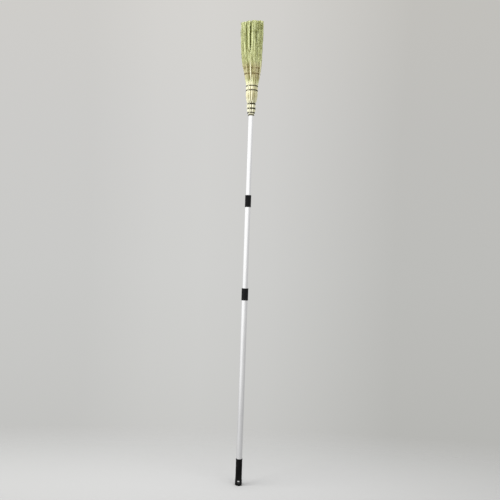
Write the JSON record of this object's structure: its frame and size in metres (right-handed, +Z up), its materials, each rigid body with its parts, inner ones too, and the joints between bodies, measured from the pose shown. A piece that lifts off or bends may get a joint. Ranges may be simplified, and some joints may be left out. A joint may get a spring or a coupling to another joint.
{
  "type": "telescopic snow broom",
  "caption": "Long telescopic snow broom: a tied broomcorn brush on a pole of sliding aluminium tubes with twist-lock collars and a grip with a hanging hole.",
  "frame": {"origin": "middle of the flat bottom end of the grip", "axes": "+Z up the pole towards the brush, X across the broad face of the brush, Y through its thin side and along the hanging hole"},
  "size_m": [0.106, 0.059, 2.2028],
  "materials": {
    "tube_aluminium": "satin anodised tube",
    "collar_plastic": "matte black moulded",
    "grip_rubber": "soft matte black",
    "lock_nylon": "natural nylon",
    "lock_steel": "zinc plated steel",
    "dowel_wood": "bare turned hardwood",
    "broomcorn_stalk": "dry pale straw stalks",
    "broomcorn_fibre": "dry yellow-green broomcorn",
    "binding_cord": "dark waxed twine"
  },
  "bodies": {
    "bottom_section": {"grip": "grip_rubber", "bottom_tube": "tube_aluminium", "lower_collar": "collar_plastic"},
    "lower_expander": {"lower_expander_sleeve": "lock_nylon", "lower_wedge_nut": "lock_nylon"},
    "mid_section": {"mid_tube": "tube_aluminium", "lower_plug": "lock_nylon", "lower_stud": "lock_steel", "lower_end_nut": "lock_steel", "upper_collar": "collar_plastic"},
    "upper_expander": {"upper_expander_sleeve": "lock_nylon", "upper_wedge_nut": "lock_nylon"},
    "top_section": {"top_tube": "tube_aluminium", "upper_plug": "lock_nylon", "upper_stud": "lock_steel", "upper_end_nut": "lock_steel", "core_dowel": "dowel_wood", "stalk_bundle": "broomcorn_stalk", "broomcorn_brush": "broomcorn_fibre", "binding_cords": "binding_cord"}
  },
  "joints": [
    {"name": "lower_slide", "type": "slide", "parent": "bottom_section", "child": "lower_expander", "axis": [0, 0, 1], "range_m": [-0.38, 0.44]},
    {"name": "lower_twist", "type": "hinge", "parent": "lower_expander", "child": "mid_section", "pos_m": [0, 0, 0.485], "axis": [0, 0, 1], "range_deg": [0, 180]},
    {"name": "upper_slide", "type": "slide", "parent": "mid_section", "child": "upper_expander", "axis": [0, 0, 1], "range_m": [-0.372, 0.412]},
    {"name": "upper_twist", "type": "hinge", "parent": "upper_expander", "child": "top_section", "pos_m": [0, 0, 0.955], "axis": [0, 0, 1], "range_deg": [0, 180]}
  ]
}
